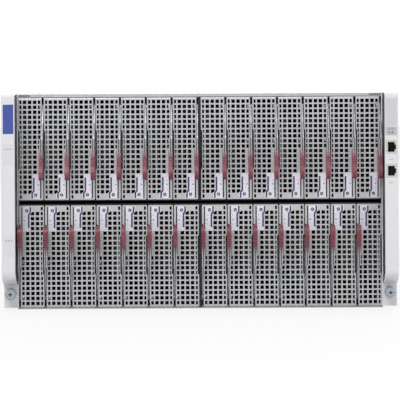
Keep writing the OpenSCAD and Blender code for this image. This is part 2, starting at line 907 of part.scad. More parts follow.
// Rotor of a fan: hub and five blades
module rotor() {
    color("black") translate([fan_x, seat - cap_d, fan_z]) rotate([-90, 0, 0]) {
        cylinder(h = cap_d - 5, r = rotor_hub);
        for (k = [0 : 4])
            rotate(k * 72) translate([rotor_hub - 2, 0, cap_d / 2 - 2]) rotate([35, 0, 0])
                translate([0, -rotor_chord / 2, -rotor_t / 2])
                    cube([fan_d / 2 - rotor_hub, rotor_chord, rotor_t]);
    }
}

// Wire finger guard: three rings welded on two cross wires that stand on the panel
module finger_guard() {
    span = fan_d + 4;
    rise = wire_d - weld;
    color("silver") translate([fan_x, 0, fan_z]) rotate([-90, 0, 0]) {
        for (k = [0, 1])
            rotate(45 + 90 * k) translate([-span / 2, 0, wire_d / 2 + seat + k * rise])
                rotate([0, 90, 0]) cylinder(h = span, r = wire_d / 2);
        for (k = [1 : 3])
            translate([0, 0, wire_d / 2 + seat + 2 * rise]) rotate_extrude()
                translate([k * fan_d / 7, 0]) circle(wire_d / 2);
    }
}

// Hot-swap power supply with its fan, mains inlet and handle
module power_module() {
    color("silver") difference() {
        housing(power_w, module_d, power_h, [inlet_x, inlet_z], inlet_size);
        translate([fan_x, 1, fan_z]) rotate([90, 0, 0]) cylinder(h = cap_d + 1, r = fan_d / 2 + 1);
    }
    rear_panel(power_w, power_h, [inlet_x, inlet_z], inlet_size)
        translate([fan_x, 1, fan_z]) rotate([90, 0, 0]) cylinder(h = sheet + 2, r = fan_d / 2);
    rotor();
    finger_guard();
    color("black") socket([inlet_x, inlet_z], inlet_size, inlet_hole, inlet_d);
    strap(inlet_x + 2, inlet_z + 16, power_h - 5, 9);
    module_plug(60, module_d, fan_z);
}

module power_modules() {
    step = power_w + 2 * bay_gap + sheet;
    for (z = [sheet + bay_gap, high_shelf_z + sheet + bay_gap], i = [0 : power_columns - 1])
        translate([(i + 0.5 - power_columns / 2) * step, rear_y, z]) power_module();
}

// Network switch with an uplink cage and a pull handle
module switch_module() {
    at = [-20, switch_h / 2];
    housing(switch_w, module_d, switch_h, at, cage_size);
    rear_panel(switch_w, switch_h, at, cage_size);
    color("silver") socket(at, cage_size, cage_hole, cap_d - 2);
    strap(switch_w / 2 - 10, 4, switch_h - 4, 8);
    module_plug(80, module_d, switch_h / 2);
}

// Chassis manager with its service port and pull handle
module management_module() {
    at = [10, switch_h / 2];
    housing(manager_w, module_d, switch_h, at, jack_size);
    rear_panel(manager_w, switch_h, at, jack_size);
    color("silver") socket(at, jack_size, [port_w, port_h], port_d);
    strap(-manager_w / 2 + 10, 4, switch_h - 4, 8);
    module_plug(30, module_d, switch_h / 2);
}

module switch_modules() {
    for (z = [low_shelf_z, mid_shelf_z]) {
        for (side = [-1, 1])
            translate([side * switch_x, rear_y, z + sheet + bay_gap]) switch_module();
        translate([0, rear_y, z + sheet + bay_gap]) management_module();
    }
}

// ---------- the assembly ----------

enclosure();
front_ears();
power_modules();
switch_modules();
for (row = [0, 1], i = [0 : columns - 1]) {
    in_bay(row, i) blade();
    in_bay(row, i) lever();
}
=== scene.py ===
"""Looks of a blade server enclosure: finishes, labels, lamps, contacts and small fasteners on the CAD frame."""

import math

import bmesh
import bpy
import numpy as np
from mathutils import Matrix, Vector

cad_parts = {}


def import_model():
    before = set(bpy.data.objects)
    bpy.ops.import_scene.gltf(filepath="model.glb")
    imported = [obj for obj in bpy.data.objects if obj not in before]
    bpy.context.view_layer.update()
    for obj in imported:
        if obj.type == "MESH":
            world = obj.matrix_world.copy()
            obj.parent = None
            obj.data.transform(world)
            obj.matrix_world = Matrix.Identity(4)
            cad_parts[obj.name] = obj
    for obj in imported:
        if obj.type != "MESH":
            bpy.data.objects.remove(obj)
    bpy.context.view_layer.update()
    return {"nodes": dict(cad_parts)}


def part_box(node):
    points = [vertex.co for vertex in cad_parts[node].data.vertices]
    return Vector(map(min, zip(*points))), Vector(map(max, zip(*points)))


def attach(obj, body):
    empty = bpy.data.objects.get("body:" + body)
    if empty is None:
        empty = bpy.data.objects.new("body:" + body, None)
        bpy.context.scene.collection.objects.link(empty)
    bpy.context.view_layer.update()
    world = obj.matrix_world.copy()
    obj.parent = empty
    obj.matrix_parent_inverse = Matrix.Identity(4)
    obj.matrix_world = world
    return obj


MM = 0.001
ROWS = ("upper", "lower")
COLUMNS = 14
BLADE_W = 31.1
BLADE_H = 125.8
BUTTON_PROUD = 1.25  # how far the power button stands before the blade's face
PORT_Z = (198.0, 169.0)

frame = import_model()
nodes = frame["nodes"]

blade_low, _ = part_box("blade_upper_01")
FACE = blade_low.y / MM + BUTTON_PROUD
ears_low, ears_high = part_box("front_ears")
EAR_FRONT = ears_low.y / MM
_, shell_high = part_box("enclosure")
REAR = shell_high.y / MM
SIDE = shell_high.x / MM
TOP = shell_high.z / MM


# ---------- materials ----------


def linear(rgb):
    """Linear colour from the eight-bit values that a screen shows."""
    out = [(c / 255 / 12.92 if c / 255 <= 0.04045 else ((c / 255 + 0.055) / 1.055) ** 2.4) for c in rgb]
    return (*out, 1.0)


class Nodes:
    """Short way to add shader nodes and join them."""

    def __init__(self, mat):
        mat.use_nodes = True
        self.tree = mat.node_tree
        self.shader = self.tree.nodes["Principled BSDF"]
        self.where = self.add("ShaderNodeTexCoord").outputs["Object"]

    def add(self, kind, **values):
        node = self.tree.nodes.new(kind)
        for key, value in values.items():
            if hasattr(node, key):
                setattr(node, key, value)
            else:
                node.inputs[key.replace("_", " ")].default_value = value
        return node

    def join(self, a, b):
        self.tree.links.new(a, b)

    def scaled(self, stretch):
        m = self.add("ShaderNodeMapping")
        m.inputs["Scale"].default_value = stretch
        self.join(self.where, m.inputs["Vector"])
        return m.outputs["Vector"]

    def noise(self, scale, detail=4.0, stretch=(1, 1, 1)):
        n = self.add("ShaderNodeTexNoise", Scale=scale, Detail=detail)
        self.join(self.scaled(stretch), n.inputs["Vector"])
        return n.outputs["Fac"]

    def spread(self, value, low, high, start=0.3, stop=0.7):
        r = self.add("ShaderNodeMapRange")
        r.inputs["From Min"].default_value = start
        r.inputs["From Max"].default_value = stop
        r.inputs["To Min"].default_value = low
        r.inputs["To Max"].default_value = high
        self.join(value, r.inputs["Value"])
        return r.outputs["Result"]

    def blend(self, value, a, b):
        m = self.add("ShaderNodeMix", data_type="RGBA")
        self.join(value, m.inputs[0])
        for socket, colour in ((m.inputs[6], a), (m.inputs[7], b)):
            if isinstance(colour, tuple):
                socket.default_value = colour
            else:
                self.join(colour, socket)
        return m.outputs[2]

    def bump(self, heights, strength, distance):
        normal = None
        for height in heights:
            b = self.add("ShaderNodeBump", Strength=strength, Distance=distance)
            self.join(height, b.inputs["Height"])
            if normal:
                self.join(normal, b.inputs["Normal"])
            normal = b.outputs["Normal"]
        self.join(normal, self.shader.inputs["Normal"])


def shade(colour, k):
    return (*[min(1.0, c * k) for c in colour[:3]], 1.0)


def surface(name, rgb, metal=0.0, rough=0.45, vary=0.06, grain=900.0, stretch=(1, 1, 1), relief=0.12,
            coat=0.0, handling=None):
    """A finish with cloudy colour and gloss, a fine grain in the relief, and rubbed patches where hands reach."""
    mat = bpy.data.materials.new(name)
    n = Nodes(mat)
    base = linear(rgb)
    cloud = n.noise(9.0, 5.0)
    fine = n.noise(grain, 3.0, stretch)
    colour = n.blend(n.spread(cloud, 0, 1), shade(base, 1 - vary), shade(base, 1 + vary * 0.6))
    colour = n.blend(n.spread(fine, 0, 0.35), colour, shade(base, 1 - 1.8 * vary))
    if handling:
        rub = n.spread(n.noise(65.0, 6.0), 0, 1, 0.56, 0.66)
        colour = n.blend(rub, colour, linear(handling))
    n.join(colour, n.shader.inputs["Base Color"])
    n.join(n.spread(n.noise(38.0, 6.0), rough * 0.82, min(1.0, rough * 1.2)), n.shader.inputs["Roughness"])
    n.bump([fine, n.noise(grain / 7, 2.0, stretch)], relief, 0.0002)
    n.shader.inputs["Metallic"].default_value = metal
    n.shader.inputs["Coat Weight"].default_value = coat
    n.shader.inputs["Coat Roughness"].default_value = 0.25
    return mat


def lamp_glass(name, rgb, glow):
    """A small moulded lens with a soft light behind it; the power button's pale centre uses the same glow as painted
    light, with no lamp behind it.
    """
    mat = surface(name, rgb, rough=0.2, coat=0.6, relief=0.02)
    shader = mat.node_tree.nodes["Principled BSDF"]
    shader.inputs["Emission Color"].default_value = linear(rgb)
    shader.inputs["Emission Strength"].default_value = glow
    return mat


def spangled(name, rgb, rough, vary):
    """Zinc-plated sheet: crystals of slightly different grey and gloss, with drawn lines over them."""
    mat = bpy.data.materials.new(name)
    n = Nodes(mat)
    base = linear(rgb)
    cells = n.add("ShaderNodeTexVoronoi", Scale=140.0, feature="F1")
    n.join(n.where, cells.inputs["Vector"])
    grey = n.add("ShaderNodeSeparateColor")
    n.join(cells.outputs["Color"], grey.inputs["Color"])
    drawn = n.noise(700.0, 3.0, (1, 0.03, 1))
    colour = n.blend(n.spread(grey.outputs["Red"], 0, 1, 0, 1), shade(base, 1 - vary), shade(base, 1 + vary))
    colour = n.blend(n.spread(drawn, 0, 0.3), colour, shade(base, 1 - 1.5 * vary))
    n.join(colour, n.shader.inputs["Base Color"])
    n.join(n.spread(grey.outputs["Green"], rough * 0.85, rough * 1.15, 0, 1), n.shader.inputs["Roughness"])
    n.bump([drawn], 0.05, 0.0001)
    n.shader.inputs["Metallic"].default_value = 0.85
    return mat


def board(name, rgb):
    """Circuit board: lacquer over a mesh of fine tracks and pads."""
    mat = bpy.data.materials.new(name)
    n = Nodes(mat)
    base = linear(rgb)
    tracks = n.add("ShaderNodeTexBrick", Scale=260.0)
    tracks.inputs["Mortar Size"].default_value = 0.03
    tracks.inputs["Color1"].default_value = base
    tracks.inputs["Color2"].default_value = shade(base, 0.8)
    tracks.inputs["Mortar"].default_value = shade(base, 2.1)
    turned = n.add("ShaderNodeMapping")
    turned.inputs["Rotation"].default_value = (0, math.radians(90), 0)
    n.join(n.where, turned.inputs["Vector"])
    n.join(turned.outputs["Vector"], tracks.inputs["Vector"])
    colour = n.blend(n.spread(n.noise(30.0), 0, 0.5), tracks.outputs["Color"], shade(base, 0.65))
    n.join(colour, n.shader.inputs["Base Color"])
    n.join(n.spread(n.noise(80.0), 0.3, 0.5), n.shader.inputs["Roughness"])
    n.bump([tracks.outputs["Fac"]], 0.2, 0.0002)
    n.shader.inputs["Coat Weight"].default_value = 0.3
    return mat


FINISH = {
    "face": surface("plated_face", (198, 199, 202), metal=0.45, rough=0.36, grain=1500, stretch=(1, 1, 0.12),
                    handling=(190, 191, 195)),
    "tray": spangled("zinc_tray", (176, 178, 182), 0.42, 0.07),
    "cover": spangled("zinc_cover", (188, 190, 194), 0.4, 0.06),
    "pin": surface("bright_pin", (240, 240, 240), metal=0.5, rough=0.3, grain=2600, relief=0.05),
    "panel": surface("panel_film", (234, 233, 246), rough=0.42, vary=0.03, grain=2200, relief=0.05, coat=0.2),
    "black": surface("black_plastic", (20, 20, 22), rough=0.5, vary=0.15, grain=2600, relief=0.14),
    # Near-black steel for the set-back middle shelf and the thin wall at the middle: painted shade where they lie
    # back from the faces
    "dark": surface("painted_shade_steel", (52, 53, 56), metal=0.4, rough=0.5, vary=0.12, grain=1100, stretch=(1, 0.2, 1)),
    "button": surface("button_ring", (24, 24, 27), rough=0.35, vary=0.1, grain=3000, relief=0.05, coat=0.3),
    # The power button's pale centre glows faintly: painted light, there is no lamp in it
    "button_light": lamp_glass("button_centre_painted_glow", (206, 210, 224), 0.12),
    "pcb": board("blade_board", (26, 74, 46)),
    "memory": board("memory_board", (28, 96, 52)),
    "sink": surface("milled_fins", (196, 199, 203), metal=0.9, rough=0.34, grain=2000, stretch=(1, 0.05, 1)),
    "drive": surface("drive_case", (74, 77, 82), metal=0.6, rough=0.4, grain=1400, stretch=(1, 0.1, 1)),
    # Lever steel: its grey is lowered all over to stand for the shade in the lever's pocket, so it is partly the
    # steel's own grey and partly painted shade; the rubbed patches are wear
    "arm": surface("lever_steel_painted_shade", (172, 173, 176), metal=0.5, rough=0.32, grain=1800, stretch=(1, 1, 0.08),
                   handling=(158, 159, 163)),
    "grip": surface("maroon_grip", (122, 50, 65), rough=0.42, vary=0.12, grain=2400, relief=0.18, coat=0.15,
                    handling=(138, 68, 82)),
    "paint": surface("ear_paint", (228, 228, 231), rough=0.5, vary=0.025, grain=2600, relief=0.1),
    # Inner side faces of the ears: a deep grey that is painted shade, on the side turned towards the blades
    "ear_inner": surface("painted_shade_ear_side", (58, 58, 62), rough=0.55, vary=0.1, grain=2200, relief=0.12),
    "bracket": surface("bracket_paint", (232, 232, 234), metal=0.1, rough=0.42, vary=0.04, grain=1700, relief=0.08),
    "screw": surface("nickel_screw", (172, 180, 190), metal=0.85, rough=0.26, grain=1800, relief=0.08, vary=0.1),
    "shield": surface("port_shield", (216, 214, 208), metal=0.85, rough=0.24, grain=2000, relief=0.05),
    "gold": surface("gold_contact", (224, 180, 86), metal=0.95, rough=0.25, grain=2600, relief=0.05),
    "sheet": spangled("zinc_sheet", (190, 192, 195), 0.4, 0.06),
    "cover_sheet": surface("cover_paint", (196, 198, 201), metal=0.5, rough=0.38, vary=0.05, grain=1100,
                           stretch=(1, 0.06, 1)),
    "wire": surface("plated_wire", (216, 216, 214), metal=0.95, rough=0.22, grain=2600, relief=0.05),
    "strap": surface("strap_handle", (44, 45, 48), rough=0.48, vary=0.14, grain=1800, relief=0.2,
                     handling=(60, 61, 64)),
    "blue": surface("blue_label", (62, 78, 158), rough=0.34, vary=0.06, grain=2600, relief=0.04, coat=0.3),
    "label_border": surface("label_border", (196, 206, 238), rough=0.4, vary=0.03, grain=2600, relief=0.03),
    "pale_label": surface("pale_label", (222, 222, 225), rough=0.36, vary=0.02, grain=2600, relief=0.03, coat=0.2),
    "grey_label": surface("grey_label", (208, 208, 214), rough=0.36, vary=0.03, grain=2600, relief=0.03, coat=0.2),
    "lamp_panel": surface("lamp_panel", (186, 187, 191), rough=0.4, vary=0.04, grain=2600, relief=0.04, coat=0.2),
    "mark": surface("printed_mark", (92, 92, 98), rough=0.5, vary=0.1, grain=2600, relief=0.02),
    "faint_mark": surface("faint_mark", (176, 176, 188), rough=0.5, vary=0.06, grain=2600, relief=0.02),
    "navy": surface("navy_stripe", (52, 48, 92), rough=0.32, vary=0.1, grain=2600, relief=0.03, coat=0.4),
    "lamp_off": lamp_glass("unlit_lens", (98, 96, 104), 0.0),
    "lamp_green": lamp_glass("green_lens", (96, 190, 110), 0.35),
    # Deep grey for the sunk crosses of screw heads: painted shade
    "recess": surface("painted_shade_screw_cross", (36, 37, 40), metal=0.5, rough=0.5, vary=0.1, grain=2200, relief=0.05),
}


# ---------- finishes of the CAD solids ----------


def shells(mesh):
    """For each polygon the number of the closed solid it belongs to, and each solid's box in millimetres."""
    co = np.empty(len(mesh.vertices) * 3)
    mesh.vertices.foreach_get("co", co)
    co = co.reshape(-1, 3)
    _, same = np.unique(np.round(co * 1e7).astype(np.int64), axis=0, return_inverse=True)
    same = same.reshape(-1)
    corner = np.empty(len(mesh.loops), np.int32)
    mesh.loops.foreach_get("vertex_index", corner)
    start = np.empty(len(mesh.polygons), np.int32)
    mesh.polygons.foreach_get("loop_start", start)
    tri = same[corner[start[:, None] + np.arange(3)]]
    label = np.arange(same.max() + 1)
    while True:
        low = label[tri].min(axis=1)
        new = label.copy()
        for k in range(3):
            np.minimum.at(new, tri[:, k], low)
        new = new[new]
        if (new == label).all():
            break
        label = new
    found, number = np.unique(label[tri[:, 0]], return_inverse=True)
    number = number.reshape(-1)
    boxes = []
    for k in range(len(found)):
        used = co[np.isin(same, np.unique(tri[number == k]))] / MM
        boxes.append((used.min(axis=0), used.max(axis=0)))
    return number, boxes


def centres(mesh):
    c = np.empty(len(mesh.polygons) * 3)
    mesh.polygons.foreach_get("center", c)
    n = np.empty(len(mesh.polygons) * 3)
    mesh.polygons.foreach_get("normal", n)
    return c.reshape(-1, 3) / MM, n.reshape(-1, 3)


class Painter:
    """Gives each polygon of a CAD node one of the finishes."""

    def __init__(self, node):
        self.mesh = nodes[node].data
        self.names = []
        self.index = np.zeros(len(self.mesh.polygons), np.int32)

    def put(self, mask, finish):
        if finish not in self.names:
            self.names.append(finish)
        self.index[mask] = self.names.index(finish)

    def done(self):
        self.mesh.materials.clear()
        for name in self.names:
            self.mesh.materials.append(FINISH[name])
        self.mesh.polygons.foreach_set("material_index", self.index)
        self.mesh.update()


def to_local(points, cell):
    """From the row frame to a blade's own frame; the lower row is turned half a turn about Y."""
    x, z, turn = cell
    return (points - np.array([x, FACE, z])) * np.array([turn, 1, turn])


def blade_cell(row, i):
    low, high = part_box(f"blade_{ROWS[row]}_{i + 1:02d}")
    x = low.x / MM + BLADE_W / 2 if row == 0 else high.x / MM - BLADE_W / 2
    return x, (low.z + high.z) / 2 / MM, (1 if row == 0 else -1)


CELLS = {(row, i): blade_cell(row, i) for row in (0, 1) for i in range(COLUMNS)}
BUTTON = (21.2 - BLADE_W / 2, 6.2 - BLADE_H / 2)


def blade_part(low, high):
    """Which piece of a blade a solid is, from its box in the blade's frame."""
    size = high - low
    if high[1] < 0:
        return "button" if size[0] < 5 else "panel"
    if high[1] < 2:
        return "face"
    if size[1] > 560:
        return "tray"
    if size[1] > 500:
        return "cover" if size[0] < 1.2 else "pcb"
    if high[1] < 25:
        return "pin"
    if low[1] > 540:
        return "black"
    if low[1] > 350:
        return "memory"
    return "sink" if low[1] > 180 else "drive"


def paint_blade(row, i):
    name = f"blade_{ROWS[row]}_{i + 1:02d}"
    p = Painter(name)
    number, boxes = shells(p.mesh)
    mid = to_local(centres(p.mesh)[0], CELLS[row, i])
    for k, box in enumerate(boxes):
        ends = np.sort(to_local(np.array(box), CELLS[row, i]), axis=0)
        p.put(number == k, blade_part(*ends))
    off = np.hypot(mid[:, 0] - BUTTON[0], mid[:, 2] - BUTTON[1])
    # the pale centre of the button gets the glowing finish: painted light
    p.put((mid[:, 1] < 0) & (off < 0.9) & (mid[:, 1] > -1.2), "button_light")
    p.done()


def paint_lever(row, i):
    p = Painter(f"lever_{ROWS[row]}_{i + 1:02d}")
    number, boxes = shells(p.mesh)
    for k, (low, high) in enumerate(boxes):
        p.put(number == k, "grip" if high[0] - low[0] > 4.5 else "arm")
    p.done()


def paint_enclosure():
    p = Painter("enclosure")
    number, boxes = shells(p.mesh)
    for k, (low, high) in enumerate(boxes):
        size = high - low
        if size[1] < 6 and size[0] > 400:
            finish = "pcb"
        elif size[1] < 12 and size[0] < 15:
            finish = "black"
        # the set-back middle shelf and the thin middle wall get the near-black steel: painted shade
        elif low[2] > 100 and high[2] < 140 and size[1] > 400:
            finish = "dark"
        elif size[0] < 3.5 and abs(low[0] + high[0]) < 1 and high[1] < 200:
            finish = "dark"
        elif low[2] > 255 and size[1] > 800:
            finish = "cover_sheet"
        else:
            finish = "sheet"
        p.put(number == k, finish)
    p.done()


def paint_ears():
    p = Painter("front_ears")
    number, boxes = shells(p.mesh)
    mid, normal = centres(p.mesh)
    side = np.sign(mid[:, 0])
    for k, (low, high) in enumerate(boxes):
        size = high - low
        mine = number == k
        if size[2] > 230 and size[1] > 10:
            p.put(mine, "paint")
            # faces turned inwards, towards the blades, get the deep grey: painted shade
            p.put(mine & (normal[:, 0] * side < -0.7), "ear_inner")
        elif size[2] > 230:
            p.put(mine, "bracket")
        elif size[2] > 50:
            p.put(mine, "pcb")
        elif high[2] < 40:
            p.put(mine, "screw")
            # the sunk cross of each ear screw is coloured deep grey: painted shade
            cut = (mid[:, 1] < high[1] - 27.5) & (mid[:, 1] > low[1] + 0.05)
            reach = np.hypot(mid[:, 0] - (low[0] + high[0]) / 2, mid[:, 2] - (low[2] + high[2]) / 2)
            p.put(mine & cut & (reach < 3.2), "recess")
        else:
            p.put(mine, "shield")
            across = np.abs(mid[:, 0] - (low[0] + high[0]) / 2)
            along = np.abs(mid[:, 2] - (low[2] + high[2]) / 2)
            inside = (mid[:, 1] > low[1] + 0.05) & (across < 5.9) & (along < 6.0) & (mid[:, 1] < high[1] - 1.0)
            p.put(mine & inside, "black")
    p.done()


def module_finish(low, high):
    size = high - low
    if high[1] < 185:
        return "black"
    if size[1] > 200:
        return "sheet"
    if size[1] < 1.3 and size[0] > 45:
        return "cover_sheet"
    if low[1] > REAR - 0.5:
        return "wire" if size[0] > 50 else "strap"
    return "black" if size[0] > 25.5 else "shield"


def paint_modules(node):
    p = Painter(node)
    number, boxes = shells(p.mesh)
    mid, _ = centres(p.mesh)
    for k, (low, high) in enumerate(boxes):
        finish = module_finish(low, high)
        p.put(number == k, finish)
        if finish == "shield":
            p.put((number == k) & (mid[:, 1] > low[1] + 1) & (mid[:, 1] < high[1] - 0.1)
                  & (mid[:, 0] > low[0] + 0.5) & (mid[:, 0] < high[0] - 0.5)
                  & (mid[:, 2] > low[2] + 0.5) & (mid[:, 2] < high[2] - 0.5), "black")
    p.done()
    return boxes


for row, i in CELLS:
    paint_blade(row, i)
    paint_lever(row, i)
paint_enclosure()
paint_ears()
power_boxes = paint_modules("power_modules")
switch_boxes = paint_modules("switch_modules")


# ---------- small pieces ----------


class Piece:
    """A mesh put together from chamfered plates, turned heads and bent wires, in millimetres."""

    def __init__(self, name):
        self.name = name
        self.bm = bmesh.new()
        self.names = []

    def slot(self, finish):
        if finish not in self.names:
            self.names.append(finish)
        return self.names.index(finish)

    def faces(self, rings, finish, place, cap=True):
        """Joins rings of equally many points to a closed skin; each point is (a, b, height)."""
        slot = self.slot(finish)
        rows = [[self.bm.verts.new(place @ Vector(p) * MM) for p in ring] for ring in rings]
        n = len(rows[0])
        for a, b in zip(rows, rows[1:]):
            for k in range(n):
                f = self.bm.faces.new((a[k], a[(k + 1) % n], b[(k + 1) % n], b[k]))
                f.material_index = slot
        if cap:
            self.bm.faces.new(rows[0][::-1]).material_index = slot
            self.bm.faces.new(rows[-1]).material_index = slot

    def plate(self, outline, low, high, finish, place, chamfer=0.08):
        """A plate of any outline with chamfered front edges."""
        self.faces([[(a, b, low) for a, b in outline], [(a, b, high - chamfer) for a, b in outline],
                    [(a, b, high) for a, b in inset(outline, chamfer)]], finish, place)

    def turned(self, centre, profile, finish, place, n=24):
        """A round piece from (radius, height) pairs."""
        rings = [[(a, b, h) for a, b in circle(*centre, r, n)] for r, h in profile]
        self.faces(rings, finish, place)

    def screw(self, centre, r, place, finish="screw", turn=0.0):
        """A pan head whose cross is drawn as deep grey bars on top: painted shade where the cross is sunk in."""
        self.turned(centre, [(r, -0.3), (r, 0.25 * r), (0.86 * r, 0.42 * r), (0.5 * r, 0.5 * r)], finish, place, 20)
        for angle in (turn, turn + math.pi / 2):
            c, s = math.cos(angle), math.sin(angle)
            bar = [(centre[0] + a * c - b * s, centre[1] + a * s + b * c)
                   for a, b in rounded(-0.52 * r, -0.11 * r, 0.52 * r, 0.11 * r, 0.1 * r, 2)]
            self.plate(bar, 0.3 * r, 0.5 * r + 0.03, "recess", place, 0.01)

    def done(self, body, slot=None):
        bmesh.ops.recalc_face_normals(self.bm, faces=self.bm.faces)
        mesh = bpy.data.meshes.new(self.name)
        self.bm.to_mesh(mesh)
        self.bm.free()
        for name in self.names:
            mesh.materials.append(FINISH[name])
        return ride_as(self.name, mesh, body)


def ride_as(name, mesh, body):
    obj = bpy.data.objects.new(name, mesh)
    bpy.context.scene.collection.objects.link(obj)
    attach(obj, body)
    return obj


def inset(outline, d):
    """The outline moved inwards by d; outlines run anticlockwise."""
    out = []
    n = len(outline)
    for k in range(n):
        p, q, r = (Vector(outline[j % n]) for j in (k - 1, k, k + 1))
        a, b = (q - p).normalized(), (r - q).normalized()
        na, nb = Vector((-a.y, a.x)), Vector((-b.y, b.x))
        m = na + nb
        m = m / max(m.length_squared / 2, 0.3)
        out.append(tuple(q + m * d))
    return out


def rounded(a0, b0, a1, b1, r, n=4):
    """A rectangle with round corners, anticlockwise."""
    out = []
    corners = ((a1 - r, b1 - r, 0), (a0 + r, b1 - r, 90), (a0 + r, b0 + r, 180), (a1 - r, b0 + r, 270))
    for ca, cb, start in corners:
        for k in range(n + 1):
            t = math.radians(start + 90 * k / n)
            out.append((ca + r * math.cos(t), cb + r * math.sin(t)))
    return out


def circle(a, b, r, n=20):
    return [(a + r * math.cos(2 * math.pi * k / n), b + r * math.sin(2 * math.pi * k / n)) for k in range(n)]


def facing(origin, a, b, out):
    """Matrix that lays (a, b, height) pieces on a surface; all in millimetres."""
    m = Matrix((a, b, out)).transposed().to_4x4()
    m.translation = Vector(origin)
    return m


def front(x, y, z, turn=1):
    return facing((x, y, z), (turn, 0, 0), (0, 0, turn), (0, -1, 0))


# Marks on the control panels: a bent navy stripe and three generic icons, on the panel's own face
PANEL_FACE = 0.65


def uv(u, v):
    return u - BLADE_W / 2, BLADE_H / 2 - v


def band(outer, inner, finish, piece, low, high, place):
    """A closed ring between two outlines of equally many points."""
    levels = ((outer, low), (outer, high), (inner, high), (inner, low), (outer, low))
    piece.faces([[(a, b, h) for a, b in line] for line, h in levels], finish, place, cap=False)


def panel_marks(name, cell, body):
    x, z, turn = cell
    place = front(x, FACE, z, turn)
    low, high = PANEL_FACE - 0.1, PANEL_FACE + 0.05
    p = Piece(name)
    stripe = [uv(*q) for q in ((17.75, 98.3), (17.75, 114.6), (15.7, 117.0), (15.7, 124.0), (17.7, 124.0),
                               (17.7, 117.8), (19.8, 115.2), (19.8, 98.3))]
    p.plate(stripe, low, high, "navy", place, 0.03)
    ring = [uv(*q) for q in circle(24.2, 102.4, 0.95, 16)]
    band(ring[::-1], inset(ring[::-1], 0.32), "faint_mark", p, low, high, place)
    frame_mark = [uv(*q) for q in ((23.3, 106.4), (23.3, 108.2), (25.1, 108.2), (25.1, 106.4))]
    band(frame_mark, inset(frame_mark, 0.4), "mark", p, low, high, place)
    dot = [uv(*q) for q in ((24.2, 107.0), (23.9, 107.3), (24.2, 107.6), (24.5, 107.3))]
    p.plate(dot, low, high, "mark", place, 0.02)
    tick = [uv(*q) for q in ((24.2, 111.8), (23.3, 113.5), (25.1, 113.5))]
    band(tick, inset(tick, 0.3), "faint_mark", p, low, high, place)
    return p.done(body)


for (row, i), cell in CELLS.items():
    panel_marks(f"panel_marks_{ROWS[row]}_{i + 1:02d}", cell, f"blade_{ROWS[row]}_{i + 1:02d}")

# Labels and lamps of the ears
EAR_MID = (SIDE + ears_high.x / MM) / 2


def ear_plate(piece, side, a0, a1, z0, z1, finish, rise=0.12, r=0.8):
    """A label on an ear's front; a0 and a1 are distances from the ear's outer edge."""
    edge = ears_high.x / MM
    place = front(0, EAR_FRONT, 0)
    x0, x1 = sorted((side * (edge - a0), side * (edge - a1)))
    piece.plate(rounded(x0, z0, x1, z1, r), -0.08, rise, finish, place, 0.05)
    return x0, x1


left = Piece("left_ear_labels")
ear_plate(left, -1, 1.7, 15.2, 215.9, 252.3, "label_border", 0.08)
ear_plate(left, -1, 2.1, 14.8, 216.3, 251.9, "blue", 0.16, 0.6)
for z0, z1 in ((177.3, 204.0), (66.9, 92.4)):
    x0, x1 = ear_plate(left, -1, 2.2, 14.6, z0, z1, "pale_label", 0.08)
    for k in range(3):
        at = x0 + (x1 - x0) * (k + 0.9) / 3.8
        left.plate(rounded(at - 1.0, z1 - 6.6, at + 1.0, z1 - 5.7, 0.35), 0.0, 0.14, "mark",
                   front(0, EAR_FRONT, 0), 0.02)
left.done("chassis", "ear_paint")

right = Piece("right_ear_label")
ear_plate(right, 1, 1.6, 15.2, 223.5, 257.5, "grey_label", 0.1)
for z in (182.9, 154.6):
    for k in (-1, 0, 1):
        right.plate(rounded(EAR_MID + k * 1.9 - 0.6, z - 0.8, EAR_MID + k * 1.9 + 0.6, z + 0.8, 0.25), -0.08, 0.07,
                    "faint_mark", front(0, EAR_FRONT, 0), 0.02)
right.done("chassis", "ear_paint")

lamps = Piece("ear_lamp_panel")
ear_plate(lamps, 1, 1.6, 15.2, 212.2, 222.6, "lamp_panel", 0.1)
for k, x in enumerate((EAR_MID - 2.3, EAR_MID + 1.6)):
    place = front(x, EAR_FRONT, 0)
    lamps.turned((0, 215.6), [(1.05, 0.0), (1.05, 0.22), (0.8, 0.4), (0.35, 0.48)], "lamp_off", place, 20)
    ring = circle(0, 220.0, 1.0, 16) if k else [(-1.0, 219.1), (1.0, 219.1), (0, 220.9)]
    band(ring, inset(ring, 0.3), "mark", lamps, 0.0, 0.15, place)
lamps.done("chassis", "ear_paint")

# Contacts in the two ports: eight sprung wires each
WIRE_CORNERS = ((-0.2, -0.2), (0.2, -0.2), (0.2, 0.2), (-0.2, 0.2))
contacts = Piece("port_contacts")
for z in PORT_Z:
    for k in range(8):
        at = z + (k - 3.5) * 1.02
        rings = []
        for y, x in ((1.4, -3.9), (4.2, -3.8), (7.0, -2.4), (10.0, -1.0), (12.6, -0.6)):
            centre = Vector((EAR_MID + x, EAR_FRONT + y, at))
            rings.append([tuple(centre + Vector((dx, 0, dz))) for dx, dz in WIRE_CORNERS])
        contacts.faces(rings, "gold", Matrix.Identity(4))
contacts.done("chassis")

